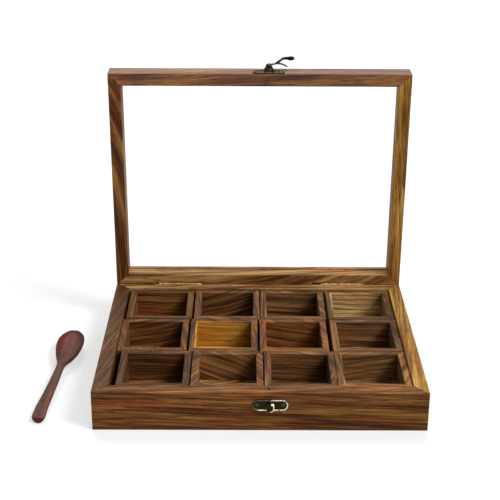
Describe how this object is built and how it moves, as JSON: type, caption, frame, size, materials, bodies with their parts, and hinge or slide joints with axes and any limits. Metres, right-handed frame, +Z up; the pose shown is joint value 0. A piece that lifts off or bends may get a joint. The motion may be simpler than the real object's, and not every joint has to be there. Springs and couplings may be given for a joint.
{
  "type": "spice box",
  "caption": "Wooden spice box with loose square cups in rows, a glazed lid on butt hinges, a horn hook latch and a small wooden spoon.",
  "frame": {"origin": "middle of the tray's footprint, on the surface it stands on", "axes": "+X to the right seen from the latch side, +Y towards the hinges, +Z up"},
  "size_m": [0.3628, 0.2671, 0.2838],
  "materials": {
    "frame_wood": "oiled rosewood",
    "cup_wood": "oiled rosewood",
    "stained_wood": "stained by turmeric",
    "spoon_wood": "oiled",
    "glass": "clear",
    "brass": "polished",
    "bronze": "antique bronze"
  },
  "bodies": {
    "tray": {"front_wall": "frame_wood", "back_wall": "frame_wood", "left_wall": "frame_wood", "right_wall": "frame_wood", "base_panel": "glass", "hinge_left_box_leaf": "brass", "hinge_left_box_screws": "brass", "hinge_left_pin": "brass", "hinge_right_box_leaf": "brass", "hinge_right_box_screws": "brass", "hinge_right_pin": "brass", "catch_plate": "bronze", "catch_screws": "bronze"},
    "lid": {"lid_front_rail": "frame_wood", "lid_back_rail": "frame_wood", "lid_left_rail": "frame_wood", "lid_right_rail": "frame_wood", "lid_pane": "glass", "hinge_left_lid_leaf": "brass", "hinge_left_lid_screws": "brass", "hinge_right_lid_leaf": "brass", "hinge_right_lid_screws": "brass", "latch_plate": "bronze", "latch_screws": "bronze", "latch_rivet": "bronze", "locating_pin": "brass"},
    "hook": {"latch_hook": "bronze"},
    "cup_front_1": {"cup_front_1_walls": "cup_wood", "cup_front_1_floor": "cup_wood"},
    "cup_front_2": {"cup_front_2_walls": "cup_wood", "cup_front_2_floor": "cup_wood"},
    "cup_front_3": {"cup_front_3_walls": "cup_wood", "cup_front_3_floor": "cup_wood"},
    "cup_front_4": {"cup_front_4_walls": "cup_wood", "cup_front_4_floor": "cup_wood"},
    "cup_middle_1": {"cup_middle_1_walls": "cup_wood", "cup_middle_1_floor": "cup_wood"},
    "cup_middle_2": {"cup_middle_2_walls": "stained_wood", "cup_middle_2_floor": "stained_wood"},
    "cup_middle_3": {"cup_middle_3_walls": "cup_wood", "cup_middle_3_floor": "cup_wood"},
    "cup_middle_4": {"cup_middle_4_walls": "cup_wood", "cup_middle_4_floor": "cup_wood"},
    "cup_back_1": {"cup_back_1_walls": "cup_wood", "cup_back_1_floor": "cup_wood"},
    "cup_back_2": {"cup_back_2_walls": "cup_wood", "cup_back_2_floor": "cup_wood"},
    "cup_back_3": {"cup_back_3_walls": "cup_wood", "cup_back_3_floor": "cup_wood"},
    "cup_back_4": {"cup_back_4_walls": "cup_wood", "cup_back_4_floor": "cup_wood"},
    "spoon": {"spoon": "spoon_wood"}
  },
  "joints": [
    {"name": "lid_hinge", "type": "hinge", "parent": "tray", "child": "lid", "pos_m": [0, 0.11615, 0.03915], "axis": [-1, 0, 0], "range_deg": [-88, 0]},
    {"name": "hook_pivot", "type": "hinge", "parent": "lid", "child": "hook", "pos_m": [0.0088, 0.11443, 0.27308], "axis": [0, -0.0349, 0.9994], "range_deg": [-136, 10]},
    {"name": "cup_front_1_lift", "type": "slide", "parent": "tray", "child": "cup_front_1", "axis": [0, 0, 1], "range_m": [0, 0.06]},
    {"name": "cup_front_2_lift", "type": "slide", "parent": "tray", "child": "cup_front_2", "axis": [0, 0, 1], "range_m": [0, 0.06]},
    {"name": "cup_front_3_lift", "type": "slide", "parent": "tray", "child": "cup_front_3", "axis": [0, 0, 1], "range_m": [0, 0.06]},
    {"name": "cup_front_4_lift", "type": "slide", "parent": "tray", "child": "cup_front_4", "axis": [0, 0, 1], "range_m": [0, 0.06]},
    {"name": "cup_middle_1_lift", "type": "slide", "parent": "tray", "child": "cup_middle_1", "axis": [0, 0, 1], "range_m": [0, 0.06]},
    {"name": "cup_middle_2_lift", "type": "slide", "parent": "tray", "child": "cup_middle_2", "axis": [0, 0, 1], "range_m": [0, 0.06]},
    {"name": "cup_middle_3_lift", "type": "slide", "parent": "tray", "child": "cup_middle_3", "axis": [0, 0, 1], "range_m": [0, 0.06]},
    {"name": "cup_middle_4_lift", "type": "slide", "parent": "tray", "child": "cup_middle_4", "axis": [0, 0, 1], "range_m": [0, 0.06]},
    {"name": "cup_back_1_lift", "type": "slide", "parent": "tray", "child": "cup_back_1", "axis": [0, 0, 1], "range_m": [0, 0.06]},
    {"name": "cup_back_2_lift", "type": "slide", "parent": "tray", "child": "cup_back_2", "axis": [0, 0, 1], "range_m": [0, 0.06]},
    {"name": "cup_back_3_lift", "type": "slide", "parent": "tray", "child": "cup_back_3", "axis": [0, 0, 1], "range_m": [0, 0.06]},
    {"name": "cup_back_4_lift", "type": "slide", "parent": "tray", "child": "cup_back_4", "axis": [0, 0, 1], "range_m": [0, 0.06]},
    {"name": "spoon_lift", "type": "slide", "parent": "tray", "child": "spoon", "axis": [0, 0, 1], "range_m": [0, 0.06]}
  ]
}
